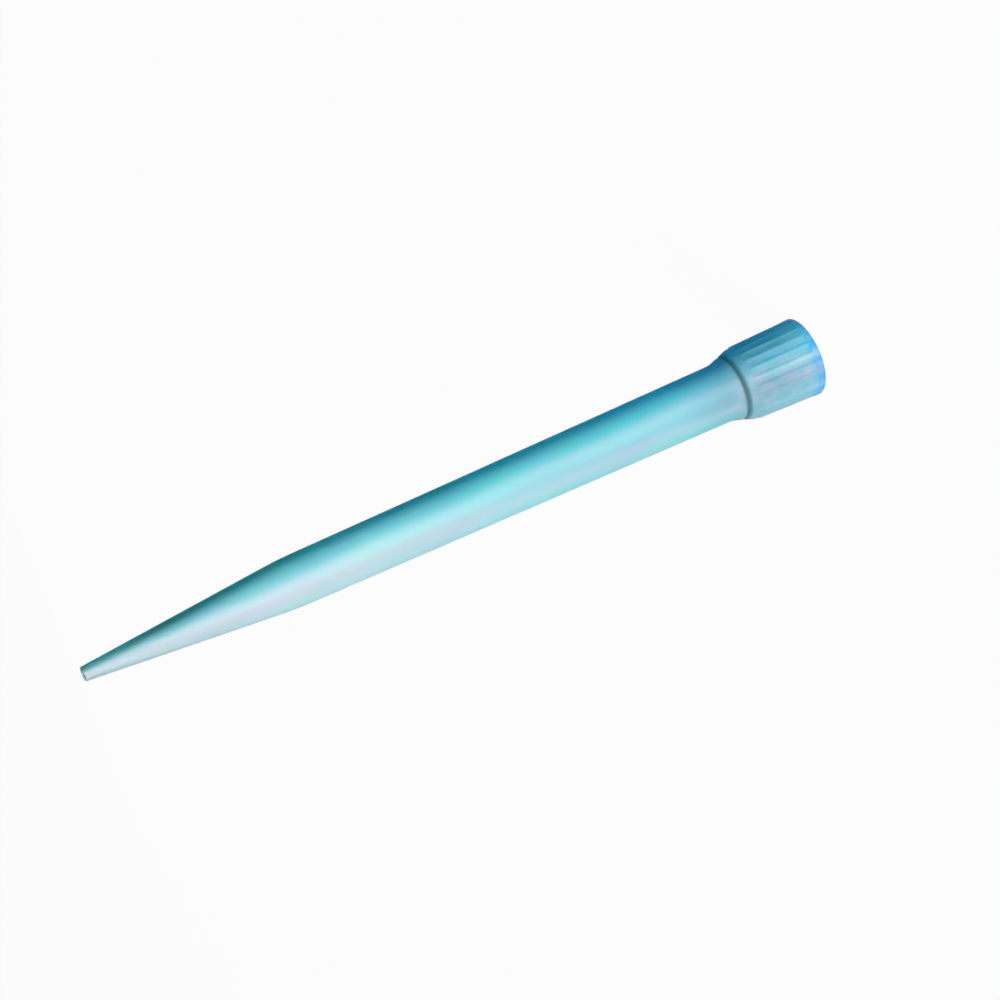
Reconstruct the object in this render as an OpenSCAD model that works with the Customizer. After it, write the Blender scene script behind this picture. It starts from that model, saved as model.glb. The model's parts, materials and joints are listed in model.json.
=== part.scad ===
// A 5 ml macro-volume pipette tip: one thin-walled polypropylene moulding.
// It stands on its open mouth, with the nozzle up.
// The origin is the centre of the mouth's rim, and +Z runs along the axis to the nozzle.

/* [Overall] */
// Length from the rim of the mouth to the end of the nozzle
tip_length = 153; // [135:1:175]

/* [Nozzle and cone] */
// Outside diameter at the end of the nozzle
nozzle_d = 2.8; // [2.5:0.1:3.6]
// Diameter of the orifice
orifice_d = 1.3; // [0.9:0.1:1.6]
// Length of the straight bore behind the orifice
orifice_len = 3; // [1.5:0.5:6]
// Rounding of the nozzle's outer edge
nozzle_round = 0.25; // [0.1:0.05:0.35]
// Length of the lower cone
cone_len = 41; // [32:0.5:50]
// Radius that blends the lower cone into the barrel
shoulder_r = 70; // [30:5:120]

/* [Barrel] */
// Outside diameter of the barrel where the lower cone begins
barrel_low_d = 9.7; // [8.8:0.1:10.6]
// Outside diameter of the barrel where the flare begins
barrel_top_d = 11.5; // [10.8:0.1:12]
// Wall thickness of the barrel
barrel_wall = 0.85; // [0.7:0.05:1.1]
// Length of the flare between collar and barrel
flare_len = 4.2; // [3.8:0.1:6]
// Radius that blends the flare into the barrel
flare_r = 5; // [2:0.5:6]

/* [Groove] */
// Distance from the collar's end to the middle of the groove round the flare
groove_gap = 1.8; // [1.2:0.1:2]
// Width of the groove
groove_w = 1.2; // [0.8:0.1:1.4]
// Depth of the groove
groove_depth = 0.3; // [0.2:0.05:0.4]
// Rounding of the groove's bottom
groove_round = 0.2; // [0.1:0.05:0.3]

/* [Collar] */
// Length of the collar, from the rim to the flare
collar_len = 14.6; // [12:0.2:18]
// Wall thickness of the collar round the sealing land
collar_wall = 0.85; // [0.75:0.05:1.2]
// Draft of the collar's outside, in degrees a side
collar_draft = 1.6; // [1.3:0.1:2.2]
// Height of the plain band at the rim
band_h = 1.2; // [0.8:0.1:2.4]
// Amount by which the band stands out past the ribs
band_lift = 0.05; // [0.03:0.01:0.1]
// Rounding of the rim's outer edge
rim_round = 0.3; // [0.15:0.05:0.4]

/* [Ribs] */
// Number of grip ribs round the collar
rib_count = 24; // [16:4:32]
// Height of a rib above the collar's surface
rib_h = 0.24; // [0.16:0.02:0.3]
// Radius of a rib's half-round section
rib_r = 0.5; // [0.42:0.02:0.6]
// Plain length between a rib's end and the flare
rib_gap = 0.4; // [0.2:0.1:1]

/* [Socket] */
// Bore of the sealing land that grips the pipette's nose cone
seal_d = 12.6; // [12.3:0.1:13.1]
// Length of the sealing land
seal_len = 4; // [3:0.5:6]
// Draft of the socket between the land and the lead-in, in degrees a side
socket_draft = 1.6; // [1.2:0.1:2]
// Length of the lead-in at the mouth
lead_in_len = 2.4; // [1.5:0.1:3]
// Amount by which the lead-in widens the mouth, a side
lead_in = 0.4; // [0.2:0.05:0.45]
// Distance from the collar's end to the ledge that stops the nose cone
ledge_gap = 0.6; // [0.2:0.1:0.8]
// Width of that ledge
ledge_w = 0.5; // [0.4:0.05:0.6]

/* [Hidden] */
$fn = 96;

// Overshoot of a cut past the face that it opens
past = 1;
// Straight steps in each rounded corner of an outline
arc_steps = 6;

orifice_r = orifice_d / 2;
nozzle_r = nozzle_d / 2;
barrel_low_r = barrel_low_d / 2;
barrel_top_r = barrel_top_d / 2;
seal_r = seal_d / 2;

collar_base_r = seal_r + collar_wall;
collar_mouth_r = collar_base_r + collar_len * tan(collar_draft);
barrel_z = collar_len + flare_len;
shoulder_z = tip_length - cone_len;
groove_z = collar_len + groove_gap;

ledge_z = collar_len + ledge_gap;
land_z = ledge_z - seal_len;
socket_r = seal_r + (land_z - lead_in_len) * tan(socket_draft);

rib_foot = band_h / 2;
rib_end = collar_len - rib_gap;

// Outside radius of the collar between the ribs, at height z
function collar_radius(z) = collar_mouth_r - z * tan(collar_draft);

// Outside radius of the band at the rim, at height z
function band_radius(z) = collar_radius(z) + rib_h + band_lift;

// Outside radius of the flare at height z
function flare_radius(z) =
    collar_base_r + (barrel_top_r - collar_base_r) * (z - collar_len) / flare_len;

// Unit vector from point a to point b
function toward(a, b) = (b - a) / norm(b - a);

// A corner b between a and c, rounded to radius r: the points of its arc
function rounded(a, b, c, r) =
    let (
        to_a = toward(b, a),
        to_c = toward(b, c),
        half = acos(to_a * to_c) / 2,
        tangent = r / tan(half),
        centre = b + toward([0, 0], to_a + to_c) * r / sin(half),
        start = b + to_a * tangent - centre,
        end = b + to_c * tangent - centre,
        turn = 180 - 2 * half,
        way = sign(start.x * end.y - start.y * end.x)
    )
    [for (i = [0 : arc_steps])
        let (angle = way * turn * i / arc_steps)
        centre + [
            start.x * cos(angle) - start.y * sin(angle),
            start.x * sin(angle) + start.y * cos(angle)
        ]];

// The points of an outline, from corners [radius, height, rounding]: 0 leaves a corner sharp
function outline(corners) =
    [for (i = [0 : len(corners) - 1])
        let (here = [corners[i].x, corners[i].y])
        each corners[i].z == 0
            ? [here]
            : rounded(
                [corners[i - 1].x, corners[i - 1].y],
                here,
                [corners[i + 1].x, corners[i + 1].y],
                corners[i].z
            )];

// The outside as a solid: rim band, collar, flare with its groove, barrel, cone and nozzle
module outside() {
    groove_low = groove_z - groove_w / 2;
    groove_high = groove_z + groove_w / 2;
    rotate_extrude()
        polygon(outline([
            [0, 0, 0],
            [band_radius(0), 0, rim_round],
            [band_radius(band_h), band_h, 0],
            [collar_radius(band_h + rib_h), band_h + rib_h, 0],
            [collar_base_r, collar_len, 0],
            [flare_radius(groove_low), groove_low, 0],
            [flare_radius(groove_z) - groove_depth, groove_z, groove_round],
            [flare_radius(groove_high), groove_high, 0],
            [barrel_top_r, barrel_z, flare_r],
            [barrel_low_r, shoulder_z, shoulder_r],
            [nozzle_r, tip_length, nozzle_round],
            [0, tip_length, 0]
        ]));
}

// The inside as a solid: lead-in, socket, sealing land, ledge, barrel, cone and orifice
module inside() {
    rotate_extrude()
        polygon(outline([
            [0, -past, 0],
            [socket_r + lead_in, -past, 0],
            [socket_r + lead_in, 0, 0],
            [socket_r, lead_in_len, 0],
            [seal_r, land_z, 0],
            [seal_r, ledge_z, 0],
            [seal_r - ledge_w, ledge_z, 0],
            [barrel_top_r - barrel_wall, barrel_z, 0],
            [barrel_low_r - barrel_wall, shoulder_z, shoulder_r],
            [orifice_r, tip_length - orifice_len, 0],
            [orifice_r, tip_length + past, 0],
            [0, tip_length + past, 0]
        ]));
}

// One half-round grip rib that follows the collar's slope
module rib() {
    translate([collar_radius(rib_foot) + rib_h - rib_r, 0, rib_foot])
        rotate([0, -collar_draft, 0])
            cylinder(r = rib_r, h = (rib_end - rib_foot) / cos(collar_draft));
}

// The whole moulding
module tip() {
    color([0.70, 0.90, 0.95])
        difference() {
            union() {
                outside();
                for (i = [0 : rib_count - 1])
                    rotate([0, 0, i * 360 / rib_count])
                        rib();
            }
            inside();
        }
}

tip();
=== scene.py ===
"""A 5 ml pipette tip of translucent polypropylene, standing on its open mouth.

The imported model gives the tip's length, its rim and the land that seals on the pipette. The
moulding is turned again here as one closed lathe mesh, with rounded edges and ribs that run
out, and it is dressed as moulded plastic. A white studio and its camera come last.
"""
import json
import logging
import math
from dataclasses import dataclass, field
from enum import Enum
from typing import Any, Mapping, Optional, Sequence, Union

import bpy
from mathutils import Matrix, Vector


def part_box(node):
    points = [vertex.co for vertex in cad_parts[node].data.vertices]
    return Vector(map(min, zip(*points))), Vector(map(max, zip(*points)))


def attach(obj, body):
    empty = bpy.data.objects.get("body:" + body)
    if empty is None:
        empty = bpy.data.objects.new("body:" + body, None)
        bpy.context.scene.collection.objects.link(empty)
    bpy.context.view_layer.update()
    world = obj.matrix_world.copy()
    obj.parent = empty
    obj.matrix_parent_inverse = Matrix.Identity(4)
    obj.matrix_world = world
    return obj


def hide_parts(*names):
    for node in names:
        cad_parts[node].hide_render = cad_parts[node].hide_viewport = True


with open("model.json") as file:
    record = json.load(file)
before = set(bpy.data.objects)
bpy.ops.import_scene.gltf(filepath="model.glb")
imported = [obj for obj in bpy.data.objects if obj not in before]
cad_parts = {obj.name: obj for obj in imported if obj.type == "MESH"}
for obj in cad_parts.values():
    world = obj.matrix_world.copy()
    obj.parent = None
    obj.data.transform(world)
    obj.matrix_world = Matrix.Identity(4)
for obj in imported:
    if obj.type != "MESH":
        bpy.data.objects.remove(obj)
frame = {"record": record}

LOG = logging.getLogger("pipette_tip")
MM = 0.001
BODY = "root"
NODE = "tip"

Colour = tuple[float, float, float]
Stops = tuple[tuple[float, Colour], ...]
Point = tuple[float, float]
Number = Union[int, float, "Value"]
WHITE = (1.0, 1.0, 1.0, 1.0)


class Sum(Enum):
    """The sums on two numbers that a Math node does here."""

    ADD = "ADD"
    SUBTRACT = "SUBTRACT"
    MULTIPLY = "MULTIPLY"
    DIVIDE = "DIVIDE"
    MAXIMUM = "MAXIMUM"


class Blend(Enum):
    """The ways that one colour goes onto another here."""

    OVER = "MIX"
    GLAZE = "MULTIPLY"


@dataclass(frozen=True)
class Pattern:
    """A soft, uneven pattern in the plastic, drawn out along the tip.

    Attributes:
        size: a patch's width in metres.
        stretch: how many times as long as wide a patch is.
        detail: how many finer layers the pattern has.
        level: the noise's level at a patch's edge.
        soft: how wide the change is at that edge.
        share: how strongly the patches show.
    """

    size: float
    stretch: float
    detail: float
    level: float = 0.5
    soft: float = 0.3
    share: float = 1.0


class Value:
    """A number that varies over a surface: a socket whose arithmetic adds Math nodes."""

    def __init__(self, graph: "Graph", socket: bpy.types.NodeSocket) -> None:
        """Wraps a socket.

        Args:
            graph: the node tree that the socket is in.
            socket: an output that gives one number.
        """
        self.graph = graph
        self.socket = socket

    def _math(self, kind: Sum, first: Number, second: Number) -> "Value":
        """Adds one Math node.

        Args:
            kind: what the node does.
            first: its first operand.
            second: its second operand.

        Returns:
            The node's result.
        """
        node = self.graph.node("ShaderNodeMath", {"operation": kind.value}, {0: first, 1: second})
        return Value(self.graph, node.outputs[0])

    def __add__(self, other: Number) -> "Value":
        """self + other."""
        return self._math(Sum.ADD, self, other)

    def __radd__(self, other: Number) -> "Value":
        """other + self."""
        return self._math(Sum.ADD, other, self)

    def __sub__(self, other: Number) -> "Value":
        """self - other."""
        return self._math(Sum.SUBTRACT, self, other)

    def __rsub__(self, other: Number) -> "Value":
        """other - self."""
        return self._math(Sum.SUBTRACT, other, self)

    def __mul__(self, other: Number) -> "Value":
        """self * other."""
        return self._math(Sum.MULTIPLY, self, other)

    def __rmul__(self, other: Number) -> "Value":
        """other * self."""
        return self._math(Sum.MULTIPLY, other, self)

    def __truediv__(self, other: Number) -> "Value":
        """self / other."""
        return self._math(Sum.DIVIDE, self, other)

    def __rtruediv__(self, other: Number) -> "Value":
        """other / self."""
        return self._math(Sum.DIVIDE, other, self)

    def at_least(self, other: Number) -> "Value":
        """The greater of this number and another."""
        return self._math(Sum.MAXIMUM, self, other)

    def step(self, level: float, soft: float) -> "Value":
        """A smooth step from 0 to 1.

        Args:
            level: the number at which the step is half way.
            soft: the width of the change.

        Returns:
            The mask.
        """
        node = self.graph.node(
            "ShaderNodeMapRange",
            {"interpolation_type": "SMOOTHSTEP", "clamp": True},
            {"Value": self, "From Min": level - soft / 2, "From Max": level + soft / 2},
        )
        return Value(self.graph, node.outputs["Result"])

    def band(self, middle: float, width: float, soft: float) -> "Value":
        """A mask that is 1 round one level of this number and 0 away from it.

        Args:
            middle: the level in the band's middle.
            width: the band's width, between the half-way points of its edges.
            soft: the width of the change at each edge.

        Returns:
            The mask.
        """
        rise = self.step(middle - width / 2, soft)
        fall = self.step(middle + width / 2, soft)
        return rise * (1.0 - fall)


class Graph:
    """The node tree of one material or world."""

    def __init__(self, owner: Union[bpy.types.Material, bpy.types.World]) -> None:
        """Empties the owner's node tree.

        Args:
            owner: the material or world that the nodes make.
        """
        owner.use_nodes = True
        self.tree = owner.node_tree
        self.tree.nodes.clear()

    def node(
        self,
        kind: str,
        settings: Optional[Mapping[str, Any]] = None,
        inputs: Optional[Mapping[Union[int, str], Any]] = None,
    ) -> bpy.types.Node:
        """Adds one node.

        Args:
            kind: the node's type.
            settings: its properties, set first. "stops" fills a colour ramp, whose
                "interpolation" goes with them.
            inputs: the number, colour, vector or link of each named or numbered socket.

        Returns:
            The node.
        """
        made = self.tree.nodes.new(kind)
        for key, setting in (settings or {}).items():
            if key == "stops":
                self._fill_ramp(made.color_ramp, setting)
            elif key == "interpolation":
                made.color_ramp.interpolation = setting
            else:
                setattr(made, key, setting)
        for key, given in (inputs or {}).items():
            self._feed(made.inputs[key], given)
        return made

    def _feed(self, socket: bpy.types.NodeSocket, given: Any) -> None:
        """Sets or links one input socket.

        Args:
            socket: the input.
            given: a Value, a node's output, or a plain number, colour or vector.
        """
        if isinstance(given, Value):
            given = given.socket
        if isinstance(given, bpy.types.NodeSocket):
            self.tree.links.new(given, socket)
        else:
            socket.default_value = given

    @staticmethod
    def _fill_ramp(ramp: bpy.types.ColorRamp, stops: Stops) -> None:
        """Fills a colour ramp.

        Args:
            ramp: the ramp, as a new node has it, with two stops.
            stops: the place and the colour of each stop, in order from 0 to 1.
        """
        while len(ramp.elements) < len(stops):
            ramp.elements.new(1.0)
        for element, (place, colour) in zip(ramp.elements, stops):
            element.position = place
            element.color = (*colour, 1.0)

    def mixed(
        self,
        share: Number,
        first: Union[Colour, Any],
        second: Union[Colour, Any],
        blend: Blend = Blend.OVER,
    ) -> bpy.types.NodeSocket:
        """Mixes two colours.

        Args:
            share: the second colour's share.
            first: a colour or a link.
            second: a colour or a link.
            blend: how the second colour goes onto the first.

        Returns:
            The mixed colour.
        """
        colours = [(*c, 1.0) if isinstance(c, tuple) else c for c in (first, second)]
        node = self.node(
            "ShaderNodeMix",
            {"data_type": "RGBA", "blend_type": blend.value},
            {0: share, 6: colours[0], 7: colours[1]},
        )
        return node.outputs[2]

    def noise(self, place: bpy.types.NodeSocket, pattern: Pattern) -> Value:
        """Soft noise, drawn out along the tip.

        Args:
            place: the place in metres.
            pattern: its size, stretch and detail.

        Returns:
            The noise, about 0.5 on average.
        """
        stretch = (1.0, 1.0, pattern.stretch)
        squeezed = self.node(
            "ShaderNodeVectorMath", {"operation": "DIVIDE"}, {0: place, 1: stretch}
        )
        inputs = {
            "Vector": squeezed.outputs[0],
            "Scale": 1.0 / pattern.size,
            "Detail": pattern.detail,
        }
        node = self.node("ShaderNodeTexNoise", {"noise_dimensions": "3D"}, inputs)
        return Value(self, node.outputs[0])

    def bearing(self, place: bpy.types.NodeSocket) -> Value:
        """How far round the tip's axis a place lies.

        Args:
            place: the place in metres.

        Returns:
            1 on the +X side, 0 at front and back, and -1 on the -X side.
        """
        level = self.node(
            "ShaderNodeVectorMath", {"operation": "MULTIPLY"}, {0: place, 1: (1.0, 1.0, 0.0)}
        )
        outward = self.node(
            "ShaderNodeVectorMath", {"operation": "NORMALIZE"}, {0: level.outputs[0]}
        )
        axes = self.node("ShaderNodeSeparateXYZ", inputs={0: outward.outputs[0]})
        return Value(self, axes.outputs["X"])


@dataclass(frozen=True)
class Polypropylene:
    """Translucent aqua polypropylene, as it comes out of the mould, with painted light and shade
    in its colour.

    Attributes:
        name: the material's name.
        tint: colours from the mouth to the nozzle, each with its share of the length. Beyond the
            plastic's own aqua, they paint the colour cast of the surroundings, bluest at the rim.
        side_light_and_shade: painted light and shade glazed over the tint round the tip, near
            white on the -X side, which the key lamp lights, and deep teal on the +X side, which
            lies in shade.
        length: the tip's length in metres, over which the tint runs.
        satin_top: height in metres below which the mould is satin.
        groove: height in metres of the groove, along which a dark ring of painted shade runs.
        cloud: the tint of denser patches.
        milk: the tint of the pale streaks that the melt leaves along the tip.
        lilac: the paler tint of the patches on collar, barrel and cone.
        moss: the greener tint of the patches on the collar.
        mint: the greener tint of the patches on barrel and cone.
        dark: the colour of the painted shade in the groove.
        shade: the colour of the painted shade on the +X side by the nozzle.
        gloss: roughness of the polished barrel.
        satin: what the satin collar and flare add to the roughness.
        clear: share of the light that goes through the wall rather than scattering in it.
        soaks: what the plastic lets through of red, green and blue.
        density: how fast it soaks up the rest, per metre.
        bends: index of refraction.
        sheen: strength of the reflection off the surface.
    """

    name: str
    tint: Stops
    side_light_and_shade: Stops
    length: float
    satin_top: float
    groove: float
    cloud: Colour
    milk: Colour
    lilac: Colour
    moss: Colour
    mint: Colour
    dark: Colour
    shade: Colour
    gloss: float
    satin: float
    clear: float
    soaks: Colour
    density: float
    bends: float = 1.49
    sheen: float = 0.85

    CLOUDS = Pattern(9 * MM, 2.5, 2.0, level=0.55, soft=0.5, share=0.2)
    STREAKS = Pattern(2.4 * MM, 14.0, 1.0, level=0.52, soft=0.24, share=0.5)
    MOTTLE = Pattern(1.9 * MM, 1.6, 2.0, level=0.5, soft=0.34, share=0.5)
    BLOTCHES = Pattern(3.2 * MM, 3.0, 1.5, level=0.5, soft=0.28, share=0.2)
    FLOW = Pattern(0.7 * MM, 24.0, 2.0, share=0.7)
    GRAIN = Pattern(0.22 * MM, 1.0, 1.0, share=0.15)

    # Heights: the satin's edge, the foot of the mottling with its softness, the ring of painted
    # shade in the groove.
    SATIN_EDGE = 4 * MM
    MOTTLE_FOOT = (2.2 * MM, 2.6 * MM)
    RING_WIDTH, RING_EDGE = 0.9 * MM, 0.7 * MM

    # Where the painted shade by the nozzle begins, with its softness: across the tip, from 0 at
    # -X to 1 at +X, and along it, as shares of its length.
    SHADE_ACROSS = (0.78, 0.3)
    SHADE_ALONG = (0.90, 0.34)

    # How strongly the painted shade in the ring and by the nozzle shows, and how far the clouds
    # push the painted side light and shade.
    RING_SHARE = 0.9
    SHADE_SHARE = 0.9
    SIDE_WANDER = 0.2

    # The surface: what the flow lines do to its roughness, the satin's extra grain, its relief.
    FLOW_ROUGHNESS = 0.08
    SATIN_GRAIN = 0.35
    RELIEF_STRENGTH, RELIEF_DEPTH = 0.5, 0.02 * MM

    @staticmethod
    def _patches(noise: Value, pattern: Pattern) -> Value:
        """A mask that is 1 in a pattern's patches and 0 between them."""
        return noise.step(pattern.level, pattern.soft)

    def _colour(
        self, graph: Graph, place: bpy.types.NodeSocket, height: Value, collar: Value
    ) -> bpy.types.NodeSocket:
        """Tints the plastic along the tip and round it, with its clouds, streaks and patches, and
        paints light and shade into it round the tip, by the nozzle and in the groove.

        Args:
            graph: the material's nodes.
            place: the place in metres.
            height: the height above the rim in metres.
            collar: 1 on the collar and flare, 0 above them.

        Returns:
            The colour.
        """
        clouds = graph.noise(place, self.CLOUDS)
        streaks = graph.noise(place, self.STREAKS)
        mottle = graph.noise(place, self.MOTTLE)
        blotches = graph.noise(place, self.BLOTCHES)
        along = height / self.length
        across = graph.bearing(place) * 0.5 + 0.5 + (clouds - 0.5) * self.SIDE_WANDER

        # Beyond the plastic's own aqua, the tint along the tip is a painted colour cast, bluest
        # at the rim.
        tint = graph.node("ShaderNodeValToRGB", {"stops": self.tint}, {0: along})
        # Painted light and shade round the tip: near white on the lit -X side, deep teal on the
        # +X side in shade.
        side = graph.node(
            "ShaderNodeValToRGB", {"stops": self.side_light_and_shade, "interpolation": "EASE"}, {0: across}
        )
        share = self._patches(clouds, self.CLOUDS) * self.CLOUDS.share
        colour = graph.mixed(share, tint.outputs[0], self.cloud)
        share = self._patches(streaks, self.STREAKS) * self.STREAKS.share
        colour = graph.mixed(share, colour, self.milk)
        hues = graph.mixed(self._patches(blotches, self.BLOTCHES), self.lilac, self.mint)
        colour = graph.mixed((1.0 - collar) * self.BLOTCHES.share, colour, hues)
        hues = graph.mixed(self._patches(mottle, self.MOTTLE), self.lilac, self.moss)
        share = collar * height.step(*self.MOTTLE_FOOT) * self.MOTTLE.share
        colour = graph.mixed(share, colour, hues)
        # Glazes the painted light and shade round the tip over the colour.
        colour = graph.mixed(1.0, colour, side.outputs[0], Blend.GLAZE)
        # Painted shade on the +X side by the nozzle, away from the key lamp.
        painted_shade_mask = across.step(*self.SHADE_ACROSS) * along.step(*self.SHADE_ALONG)
        colour = graph.mixed(painted_shade_mask * self.SHADE_SHARE, colour, self.shade)
        # A dark ring of painted shade along the groove.
        ring = height.band(self.groove, self.RING_WIDTH, self.RING_EDGE)
        return graph.mixed(ring * self.RING_SHARE, colour, self.dark)

    def material(self) -> bpy.types.Material:
        """Builds the finish.

        Returns:
            The material.
        """
        material = bpy.data.materials.new(self.name)
        graph = Graph(material)
        place = graph.node("ShaderNodeTexCoord").outputs["Object"]
        axes = graph.node("ShaderNodeSeparateXYZ", inputs={0: place})
        height = Value(graph, axes.outputs["Z"])
        collar = 1.0 - height.step(self.satin_top, self.SATIN_EDGE)

        flow = graph.noise(place, self.FLOW)
        grain = graph.noise(place, self.GRAIN)
        roughness = self.gloss + self.satin * collar + (flow - 0.5) * self.FLOW_ROUGHNESS
        relief = flow * self.FLOW.share + grain * (self.GRAIN.share + self.SATIN_GRAIN * collar)
        bump = graph.node(
            "ShaderNodeBump",
            inputs={
                "Strength": self.RELIEF_STRENGTH,
                "Distance": self.RELIEF_DEPTH,
                "Height": relief,
            },
        )
        plastic = graph.node(
            "ShaderNodeBsdfPrincipled",
            inputs={
                "Base Color": self._colour(graph, place, height, collar),
                "Roughness": roughness,
                "Normal": bump.outputs[0],
                "IOR": self.bends,
                "Specular IOR Level": self.sheen,
                "Transmission Weight": self.clear,
            },
        )
        wall = graph.node(
            "ShaderNodeVolumeAbsorption",
            inputs={"Color": (*self.soaks, 1.0), "Density": self.density},
        )
        graph.node(
            "ShaderNodeOutputMaterial",
            inputs={"Surface": plastic.outputs[0], "Volume": wall.outputs[0]},
        )
        return material


@dataclass(frozen=True)
class Corner:
    """A corner of the lathe profile, in millimetres.

    Attributes:
        radius: distance from the tip's axis.
        height: height above the rim's plane.
        rounding: radius of the arc that replaces the corner.
    """

    radius: float
    height: float
    rounding: float = 0.08


class Profile:
    """A closed profile for the lathe: straight runs between rounded corners."""

    # An arc's greatest turn between two points, and a run's points for a root of its length.
    ARC_TURN = math.radians(14)
    RUN_DENSITY = 2.2

    def __init__(self, corners: Sequence[Corner]) -> None:
        """Takes the corners in order round the section.

        Args:
            corners: the corners, of which the last joins the first.
        """
        self.corners = list(corners)

    def points(self) -> list[Point]:
        """Walks round the section.

        Returns:
            Radius and height of each point, closer together beside the corners.
        """
        arcs = [self._arc(index) for index in range(len(self.corners))]
        walked: list[Point] = []
        for arc, following in zip(arcs, arcs[1:] + arcs[:1]):
            walked.extend(arc)
            walked.extend(self._run(arc[-1], following[0]))
        return walked

    def _arc(self, index: int) -> list[Point]:
        """The arc that rounds one corner.

        Args:
            index: the corner's place in the list.

        Returns:
            The arc's points.
        """
        corner = self.corners[index]
        here = Vector((corner.radius, corner.height))
        before = self.corners[index - 1]
        after = self.corners[(index + 1) % len(self.corners)]
        back = (Vector((before.radius, before.height)) - here).normalized()
        ahead = (Vector((after.radius, after.height)) - here).normalized()
        half = back.angle(ahead) / 2
        middle = here + (back + ahead).normalized() * corner.rounding / math.sin(half)
        start = here + back * corner.rounding / math.tan(half) - middle
        end = here + ahead * corner.rounding / math.tan(half) - middle
        turn = start.angle_signed(end)
        steps = max(2, math.ceil(abs(turn) / self.ARC_TURN))
        arc = [middle + Matrix.Rotation(-turn * i / steps, 2) @ start for i in range(steps + 1)]
        return [(point.x, point.y) for point in arc]

    def _run(self, start: Point, end: Point) -> list[Point]:
        """The points of a straight run, without its ends.

        Args:
            start: where the run begins.
            end: where it ends.

        Returns:
            Points that lie closer together near both ends, so that shading stays in the corner.
        """
        steps = 2 + math.ceil(self.RUN_DENSITY * math.sqrt(math.dist(start, end)))
        shares = [0.5 - 0.5 * math.cos(math.pi * i / steps) for i in range(1, steps)]
        return [
            (start[0] + (end[0] - start[0]) * share, start[1] + (end[1] - start[1]) * share)
            for share in shares
        ]


@dataclass
class Ribs:
    """The straight grip ribs round the collar, in millimetres.

    Attributes:
        count: how many there are.
        height: how far a crest stands above the collar.
        radius: radius of a rib's section.
        gap: how far short of the collar's end they stop.
        run_out: length over which they sink into the collar there.
        blend: how far a rib's foot reaches beyond its own section, in a soft hollow.
    """

    count: int = 24
    height: float = 0.24
    radius: float = 0.5
    gap: float = 0.4
    run_out: float = 0.5
    blend: float = 0.22

    # Where meridians lie, as shares of a rib's half width and of the gap between two ribs.
    ON_RIB = (-1.0, -0.74, -0.48, -0.23, 0.0, 0.23, 0.48, 0.74, 1.0)
    BETWEEN = (0.33, 0.67)

    def half_width(self) -> float:
        """Half of the rib's width on the collar, with its foot."""
        return math.sqrt(self.radius**2 - (self.radius - self.height) ** 2) + self.blend

    def rise(self, across: float) -> float:
        """Height of a rib's section above the collar.

        Args:
            across: distance from the rib's middle.

        Returns:
            The height.
        """
        share = min(1.0, across / self.half_width())
        return self.height * (0.5 + 0.5 * math.cos(math.pi * share))

    def meridians(self, radius: float) -> list[Point]:
        """Where the lathe's meridians lie round the collar.

        Args:
            radius: the collar's middle radius.

        Returns:
            The angle of each meridian and its distance from the nearest rib's middle.
        """
        pitch = 2 * math.pi / self.count
        edge = self.half_width() / radius
        offsets = [edge * share for share in self.ON_RIB]
        offsets += [edge + (pitch - 2 * edge) * share for share in self.BETWEEN]
        return [
            (i * pitch + offset, min(abs(offset), pitch - abs(offset)) * radius)
            for i in range(self.count)
            for offset in offsets
        ]


@dataclass
class Collar:
    """The ribbed collar that fingers and tip boxes hold, in millimetres.

    Attributes:
        length: height at which it meets the flare.
        base_radius: its radius between the ribs, where it meets the flare.
        draft: slope of its side.
        band_height: height of the smooth band at the rim.
        band_lift: how far the band stands proud of the ribs.
        rim_rounding: radius of the rim's outer edge.
        foot_rounding: radius in the corner where the band ends.
        end_rounding: radius of the edge where it meets the flare.
        ribs: the ribs round it.
    """

    length: float
    base_radius: float
    draft: float = math.radians(1.6)
    band_height: float = 1.2
    band_lift: float = 0.05
    rim_rounding: float = 0.3
    foot_rounding: float = 0.12
    end_rounding: float = 0.15
    ribs: Ribs = field(default_factory=Ribs)

    def radius(self, height: float) -> float:
        """The radius between the ribs."""
        return self.base_radius + (self.length - height) * math.tan(self.draft)

    def band_radius(self, height: float) -> float:
        """The radius of the smooth band at the rim, which stands just proud of the ribs."""
        return self.radius(height) + self.ribs.height + self.band_lift

    def corners(self) -> list[Corner]:
        """Corners from the rim to the flare.

        Returns:
            The corners.
        """
        band_end = self.band_height + self.ribs.height
        return [
            Corner(self.band_radius(0), 0, self.rim_rounding),
            Corner(self.band_radius(self.band_height), self.band_height),
            Corner(self.radius(band_end), band_end, self.foot_rounding),
            Corner(self.base_radius, self.length, self.end_rounding),
        ]

    def ribbed(self, radius: float, height: float, across: float) -> float:
        """The radius with the ribs on it.

        Args:
            radius: the profile's radius.
            height: height above the rim.
            across: distance from the nearest rib's middle.

        Returns:
            The radius there.
        """
        end = self.length - self.ribs.gap
        if not self.band_height < height < end:
            return radius
        fade = min(1.0, (end - height) / self.ribs.run_out)
        crest = self.radius(height) + self.ribs.rise(across) * math.sin(fade * math.pi / 2)
        return max(radius, crest)


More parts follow.
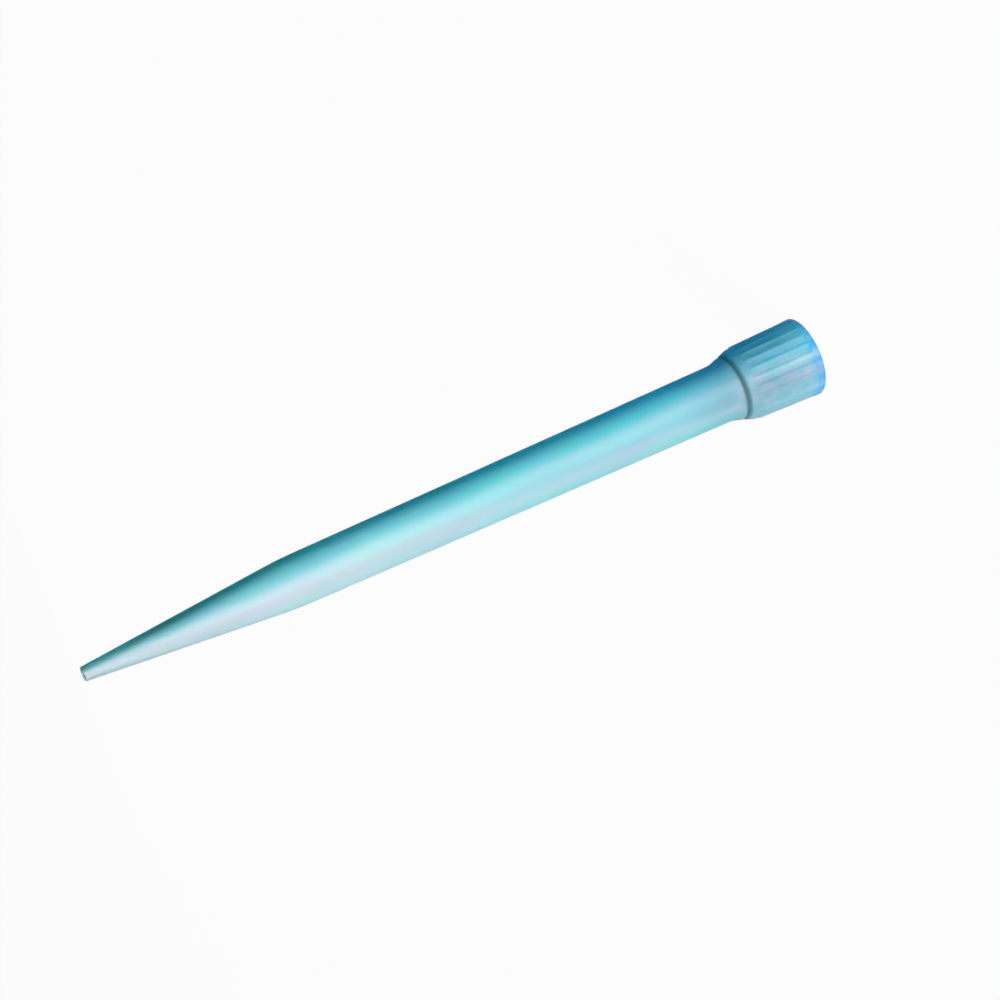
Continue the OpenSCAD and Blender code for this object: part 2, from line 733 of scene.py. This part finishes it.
@dataclass
class Flare:
    """The short cone between collar and barrel, with a fine groove round it, in millimetres.

    Attributes:
        start: height at which it leaves the collar.
        wide: its radius there.
        narrow: the barrel's radius, where it ends.
        length: its length along the tip.
        rounding: radius of the soft turn into the barrel.
        groove_gap: height of the groove's middle above the collar.
        groove_width: the groove's width.
        groove_depth: the groove's depth.
        groove_rounding: radius of the groove's floor.
    """

    start: float
    wide: float
    narrow: float
    length: float = 4.2
    rounding: float = 5.0
    groove_gap: float = 1.8
    groove_width: float = 1.2
    groove_depth: float = 0.3
    groove_rounding: float = 0.2

    @property
    def end(self) -> float:
        """Height at which it meets the barrel."""
        return self.start + self.length

    @property
    def groove(self) -> float:
        """Height of the groove's middle."""
        return self.start + self.groove_gap

    def radius(self, height: float) -> float:
        """The radius beside the groove."""
        return self.wide + (self.narrow - self.wide) * (height - self.start) / self.length

    def corners(self) -> list[Corner]:
        """Corners from the groove to the barrel.

        Returns:
            The corners.
        """
        low = self.groove - self.groove_width / 2
        high = self.groove + self.groove_width / 2
        floor = self.radius(self.groove) - self.groove_depth
        return [
            Corner(self.radius(low), low),
            Corner(floor, self.groove, self.groove_rounding),
            Corner(self.radius(high), high),
            Corner(self.narrow, self.end, self.rounding),
        ]


@dataclass
class Shaft:
    """The barrel and the cone that ends in the nozzle, in millimetres.

    Attributes:
        length: the tip's whole length.
        cone_length: length of the cone.
        shoulder_rounding: radius of the long soft turn from the barrel into the cone.
        low_radius: the barrel's outer radius at the cone.
        top_radius: its outer radius at the flare.
        wall: the wall's thickness.
        nozzle_radius: outer radius of the nozzle's end.
        nozzle_rounding: radius of the end's outer edge.
        orifice_radius: radius of the hole in the end.
        orifice_length: length of that hole.
        orifice_rounding: radius of its edge.
        bore_rounding: radius of the turns in the bore.
    """

    length: float
    cone_length: float = 41.0
    shoulder_rounding: float = 70.0
    low_radius: float = 4.85
    top_radius: float = 5.75
    wall: float = 0.85
    nozzle_radius: float = 1.4
    nozzle_rounding: float = 0.25
    orifice_radius: float = 0.65
    orifice_length: float = 3.0
    orifice_rounding: float = 0.06
    bore_rounding: float = 1.0

    @property
    def shoulder(self) -> float:
        """Height at which the cone begins."""
        return self.length - self.cone_length

    def outside(self) -> list[Corner]:
        """Corners of the outside, from the shoulder to the orifice.

        Returns:
            The corners.
        """
        return [
            Corner(self.low_radius, self.shoulder, self.shoulder_rounding),
            Corner(self.nozzle_radius, self.length, self.nozzle_rounding),
            Corner(self.orifice_radius, self.length, self.orifice_rounding),
        ]

    def inside(self, barrel_end: float) -> list[Corner]:
        """Corners of the inside, from the orifice to the flare.

        Args:
            barrel_end: height at which the barrel meets the flare.

        Returns:
            The corners.
        """
        orifice_end = self.length - self.orifice_length
        return [
            Corner(self.orifice_radius, orifice_end, self.bore_rounding),
            Corner(self.low_radius - self.wall, self.shoulder, self.shoulder_rounding),
            Corner(self.top_radius - self.wall, barrel_end, self.bore_rounding),
        ]


@dataclass
class Socket:
    """The socket that takes the pipette's nose cone, in millimetres.

    Attributes:
        seal_radius: radius of the sealing land.
        seal_length: the land's length.
        ledge: height of the ledge above the land, where the nose cone stops.
        ledge_width: how far the ledge stands in.
        draft: slope of the socket's side below the land.
        lead_in_length: height of the lead-in at the mouth.
        lead_in: how far the lead-in opens out.
        land_rounding: radius of the turn from the land into the socket.
        lead_in_rounding: radius of the turn into the lead-in.
    """

    seal_radius: float
    seal_length: float
    ledge: float
    ledge_width: float = 0.5
    draft: float = math.radians(1.6)
    lead_in_length: float = 2.4
    lead_in: float = 0.4
    land_rounding: float = 1.0
    lead_in_rounding: float = 0.5

    def corners(self) -> list[Corner]:
        """Corners from the ledge to the rim.

        Returns:
            The corners.
        """
        land = self.ledge - self.seal_length
        foot = self.seal_radius + (land - self.lead_in_length) * math.tan(self.draft)
        return [
            Corner(self.seal_radius - self.ledge_width, self.ledge),
            Corner(self.seal_radius, self.ledge),
            Corner(self.seal_radius, land, self.land_rounding),
            Corner(foot, self.lead_in_length, self.lead_in_rounding),
            Corner(foot + self.lead_in, 0),
        ]


@dataclass
class Moulding:
    """The whole tip, as one closed moulding, in millimetres.

    The length, the rim and the sealing land come from the frame. The rest repeats the sizes
    that the solid has.

    Attributes:
        shaft: barrel and cone.
        socket: the socket inside the collar.
        ledge_gap: how far the collar ends below the ledge.
        collar_wall: the wall between the sealing land and the collar, without its ribs.
        collar: the ribbed collar.
        flare: the short cone above it.
    """

    shaft: Shaft
    socket: Socket
    ledge_gap: float = 0.6
    collar_wall: float = 0.85
    collar: Collar = field(init=False)
    flare: Flare = field(init=False)

    # How far off the orifice's radius a point may be and still count as on it.
    SLACK = 1e-6

    def __post_init__(self) -> None:
        """Sizes the collar and the flare round the socket."""
        start = self.socket.ledge - self.ledge_gap
        wide = self.socket.seal_radius + self.collar_wall
        self.collar = Collar(start, wide)
        self.flare = Flare(start, wide, self.shaft.top_radius)

    @classmethod
    def from_frame(cls) -> "Moulding":
        """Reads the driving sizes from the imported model.

        Returns:
            The moulding, not yet built.
        """
        low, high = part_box(NODE)
        mounts = {mount["name"]: mount for mount in frame["record"]["mounts"]}
        bore = mounts["pipette_socket"]
        land = bore["dims"]["length_mm"]
        ledge = bore["pos_m"][2] / MM + land / 2
        return cls(Shaft((high.z - low.z) / MM), Socket(bore["dims"]["r_mm"], land, ledge))

    def profile(self) -> list[Point]:
        """Walks round the wall's section, out to the nozzle and back inside.

        Returns:
            Radius and height of each point.
        """
        outside = self.collar.corners() + self.flare.corners() + self.shaft.outside()
        inside = self.shaft.inside(self.flare.end) + self.socket.corners()
        return Profile(outside + inside).points()

    def build(self, finish: Polypropylene) -> bpy.types.Object:
        """Turns the moulding on the lathe and dresses it.

        Args:
            finish: what it is moulded in.

        Returns:
            The piece.
        """
        profile = self.profile()
        inner = next(i for i, (radius, _) in enumerate(profile) if self._in_orifice(radius))
        meridians = self.collar.ribs.meridians(self.collar.radius(self.collar.length / 2))
        vertices = []
        for index, (radius, height) in enumerate(profile):
            for angle, across in meridians:
                outside = index < inner
                there = self.collar.ribbed(radius, height, across) if outside else radius
                spot = (there * math.cos(angle), there * math.sin(angle), height)
                vertices.append([size * MM for size in spot])
        mesh = bpy.data.meshes.new("moulding")
        mesh.from_pydata(vertices, [], self._faces(len(profile), len(meridians)))
        mesh.materials.append(finish.material())
        mesh.polygons.foreach_set("use_smooth", [True] * len(mesh.polygons))
        mesh.validate()
        mesh.update()
        piece = bpy.data.objects.new("moulding", mesh)
        bpy.context.scene.collection.objects.link(piece)
        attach(piece, BODY)
        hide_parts(NODE)
        return piece

    def _in_orifice(self, radius: float) -> bool:
        """Whether a profile point is on the orifice's wall, where the inside begins."""
        return radius <= self.shaft.orifice_radius + self.SLACK

    @staticmethod
    def _faces(rings: int, around: int) -> list[tuple[int, int, int, int]]:
        """Joins the rings into a closed tube.

        Args:
            rings: how many rings the profile gives.
            around: how many vertices a ring has.

        Returns:
            The corners of each face.
        """
        faces = []
        for ring in range(rings):
            here = ring * around
            above = (ring + 1) % rings * around
            for step in range(around):
                beside = (step + 1) % around
                faces.append((here + step, here + beside, above + beside, above + step))
        return faces


@dataclass(frozen=True)
class Lamp:
    """A soft square lamp that faces the tip.

    Attributes:
        name: its name.
        bearing: degrees from the camera's side, growing towards -X.
        rise: degrees above the tip's middle.
        distance: metres from the tip's middle.
        size: the square's side in metres.
        power: its power in watts.
    """

    name: str
    bearing: float
    rise: float
    distance: float
    size: float
    power: float

    def hang(self, centre: Vector) -> bpy.types.Object:
        """Hangs the lamp.

        Args:
            centre: the tip's middle.

        Returns:
            The lamp.
        """
        bearing, rise = math.radians(self.bearing), math.radians(self.rise)
        level = Vector((-math.sin(bearing), -math.cos(bearing), 0.0)) * math.cos(rise)
        away = level + Vector((0.0, 0.0, math.sin(rise)))
        data = bpy.data.lights.new(self.name, "AREA")
        data.shape = "SQUARE"
        data.size = self.size
        data.energy = self.power
        lamp = bpy.data.objects.new(self.name, data)
        lamp.location = centre + away * self.distance
        lamp.rotation_mode = "QUATERNION"
        lamp.rotation_quaternion = away.to_track_quat("Z", "Y")
        bpy.context.scene.collection.objects.link(lamp)
        return lamp


@dataclass
class Studio:
    """The white floor, the soft light round the tip and the camera. Sizes are in metres.

    Attributes:
        centre: the tip's middle.
        glow: strength of the pale light all round.
        world_white: how white the surroundings are seen.
        floor_white: how white the floor is seen, beside the light that falls on it.
        floor_half: half of the floor's side.
        paper: the floor's own colour.
        card_width: the card's width.
        card_height: the card's height.
        card_away: distance from the tip's axis to the card's middle, towards +X.
        card_back: distance from the tip's axis to the card's middle, towards +Y.
        card_turn: the card's turn about the vertical, from facing +X.
        card_colours: the card's colours from its foot up, with shares of the tip's height.
        distance: from the camera to the tip's middle.
        elevation: the camera's angle above the level.
        roll: the camera's roll.
        lens: the camera's focal length in millimetres.
        sensor: its sensor's width in millimetres.
        aim_right: how far to the right of the tip's middle it aims.
        aim_up: how far above the tip's middle it aims.
    """

    centre: Vector
    glow: float = 0.08
    world_white: float = 0.97
    floor_white: float = 0.96
    floor_half: float = 8.0
    paper: Colour = (0.94, 0.95, 0.96)
    card_width: float = 0.54
    card_height: float = 0.65
    card_away: float = 0.097
    card_back: float = 0.25
    card_turn: float = math.radians(-18.7)
    card_colours: Stops = (
        (0.00, (0.0, 0.24, 0.80)),
        (0.30, (0.0, 0.23, 0.62)),
        (0.90, (0.0, 0.05, 0.00)),
    )
    distance: float = 0.600
    elevation: float = math.radians(18)
    roll: float = math.radians(203.85)
    lens: float = 116.3
    sensor: float = 36.0
    aim_right: float = 0.00787
    aim_up: float = 0.00169

    @staticmethod
    def _seen(graph: Graph) -> Value:
        """A mask of the rays that show the white surroundings: straight, mirrored or through.

        Args:
            graph: the node tree that uses it.

        Returns:
            The mask.
        """
        path = graph.node("ShaderNodeLightPath")
        straight, mirrored, through = (
            Value(graph, path.outputs[name])
            for name in ("Is Camera Ray", "Is Glossy Ray", "Is Transmission Ray")
        )
        return straight.at_least(mirrored).at_least(through)

    @staticmethod
    def _sheet(
        name: str, corner: Vector, first: Vector, second: Vector, material: bpy.types.Material
    ) -> bpy.types.Object:
        """Makes a flat sheet that isn't part of the tip.

        Args:
            name: its name.
            corner: one of its corners.
            first: the side that leaves that corner.
            second: the other side that does.
            material: its finish.

        Returns:
            The sheet.
        """
        mesh = bpy.data.meshes.new(name)
        corners = [corner, corner + first, corner + first + second, corner + second]
        mesh.from_pydata(corners, [], [(0, 1, 2, 3)])
        mesh.materials.append(material)
        sheet = bpy.data.objects.new(name, mesh)
        bpy.context.scene.collection.objects.link(sheet)
        return sheet

    def floor(self) -> None:
        """Lays a white floor that keeps the tip's shadow."""
        material = bpy.data.materials.new("floor_white")
        graph = Graph(material)
        paper = graph.node("ShaderNodeBsdfDiffuse", inputs={"Color": (*self.paper, 1.0)})
        white = graph.node("ShaderNodeEmission", inputs={"Color": WHITE})
        share = self._seen(graph) * self.floor_white
        both = graph.node(
            "ShaderNodeMixShader", inputs={0: share, 1: paper.outputs[0], 2: white.outputs[0]}
        )
        graph.node("ShaderNodeOutputMaterial", inputs={"Surface": both.outputs[0]})
        half, side = self.floor_half, 2 * self.floor_half
        corner = Vector((-half, -half, 0))
        self._sheet("floor", corner, Vector((side, 0, 0)), Vector((0, side, 0)), material)

    def world(self) -> None:
        """Surrounds the tip with even pale light, seen as white."""
        world = bpy.data.worlds.new("studio")
        bpy.context.scene.world = world
        graph = Graph(world)
        even, white = (
            graph.node("ShaderNodeBackground", inputs={"Color": WHITE, "Strength": strength})
            for strength in (self.glow, self.world_white)
        )
        both = graph.node(
            "ShaderNodeMixShader",
            inputs={0: self._seen(graph), 1: even.outputs[0], 2: white.outputs[0]},
        )
        graph.node("ShaderNodeOutputWorld", inputs={"Surface": both.outputs[0]})

    def card(self) -> None:
        """Stands a deep blue-green card on the tip's +X side.

        A clear thing needs something dark beside it, or its edge is lost against white. The card
        isn't lit but glows with its own colours, which show only in the plastic: it isn't seen by
        itself, and it shades nothing.
        """
        material = bpy.data.materials.new("card_blue_green")
        graph = Graph(material)
        place = graph.node("ShaderNodeTexCoord").outputs["Object"]
        axes = graph.node("ShaderNodeSeparateXYZ", inputs={0: place})
        level = Value(graph, axes.outputs["Z"]) / (2 * self.centre.z)
        shade = graph.node("ShaderNodeValToRGB", {"stops": self.card_colours}, {0: level})
        # The card glows with its own colours instead of being lit.
        card_glow = graph.node("ShaderNodeEmission", inputs={"Color": shade.outputs[0]})
        graph.node("ShaderNodeOutputMaterial", inputs={"Surface": card_glow.outputs[0]})
        along = Vector((-math.sin(self.card_turn), math.cos(self.card_turn), 0.0))
        foot = Vector((self.card_away, self.card_back, 0.0)) - along * self.card_width / 2
        wide, high = along * self.card_width, Vector((0, 0, self.card_height))
        card = self._sheet("card", foot, wide, high, material)
        card.visible_camera = False
        card.visible_diffuse = False
        card.visible_shadow = False

    def camera(self) -> None:
        """Aims the camera: it looks down on the tip and is rolled on its side."""
        back = Vector((0, -math.cos(self.elevation), math.sin(self.elevation)))
        level = Vector((1, 0, 0))
        rising = Vector((0, math.sin(self.elevation), math.cos(self.elevation)))
        right = level * math.sin(self.roll) + rising * math.cos(self.roll)
        up = -level * math.cos(self.roll) + rising * math.sin(self.roll)
        data = bpy.data.cameras.new("camera")
        data.sensor_width = self.sensor
        data.lens = self.lens
        camera = bpy.data.objects.new("camera", data)
        aim = self.centre + right * self.aim_right + up * self.aim_up
        turn = Matrix((right, up, back)).transposed()
        camera.matrix_world = Matrix.Translation(aim + back * self.distance) @ turn.to_4x4()
        bpy.context.scene.collection.objects.link(camera)
        bpy.context.scene.camera = camera


def aqua_polypropylene(tip: Moulding) -> Polypropylene:
    """Mixes the finish for the tip.

    Args:
        tip: the moulding, which gives the heights in the finish.

    Returns:
        The finish.
    """
    return Polypropylene(
        name="polypropylene_aqua",
        tint=(
            (0.00, (0.03, 0.52, 1.00)),
            (0.02, (0.30, 0.70, 0.82)),
            (0.10, (0.28, 0.67, 0.79)),
            (0.20, (0.38, 0.98, 1.00)),
            (0.44, (0.60, 1.00, 1.00)),
            (0.66, (1.00, 1.00, 1.00)),
            (1.00, (0.98, 0.85, 0.90)),
        ),
        side_light_and_shade=(
            (0.0, (0.96, 0.99, 0.97)),
            (0.3, (0.98, 0.82, 0.86)),
            (0.5, (1.00, 1.00, 1.00)),
            (0.72, (0.50, 0.94, 0.98)),
            (1.0, (0.12, 0.80, 0.80)),
        ),
        length=tip.shaft.length * MM,
        satin_top=tip.flare.end * MM,
        groove=tip.flare.groove * MM,
        cloud=(0.70, 0.86, 0.88),
        milk=(1.0, 0.90, 0.98),
        lilac=(1.00, 0.83, 1.00),
        moss=(0.52, 0.80, 0.75),
        mint=(0.70, 1.00, 0.89),
        dark=(0.03, 0.18, 0.21),
        shade=(0.10, 0.30, 0.28),
        gloss=0.56,
        satin=0.03,
        clear=0.69,
        soaks=(0.0, 0.94, 0.965),
        density=690.0,
    )


def main() -> None:
    """Builds the moulding, the studio and the camera, and reports each piece."""
    logging.basicConfig(level=logging.INFO, format="%(name)s: %(message)s")
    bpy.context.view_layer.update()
    low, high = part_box(NODE)

    tip = Moulding.from_frame()
    piece = tip.build(aqua_polypropylene(tip))
    LOG.info("%s: %d faces", piece.name, len(piece.data.polygons))

    studio = Studio((low + high) / 2)
    studio.floor()
    studio.world()
    studio.card()
    for lamp in (
        Lamp("key", 35, 7.6, 0.75, 0.36, 7.0),
        Lamp("back", 195, 17, 0.80, 0.60, 0.5),
    ):
        lamp.hang(studio.centre)
        LOG.info("%s lamp: %.1f W", lamp.name, lamp.power)
    studio.camera()
    bpy.context.scene.view_settings.view_transform = "Standard"


if __name__ == "__main__":
    main()
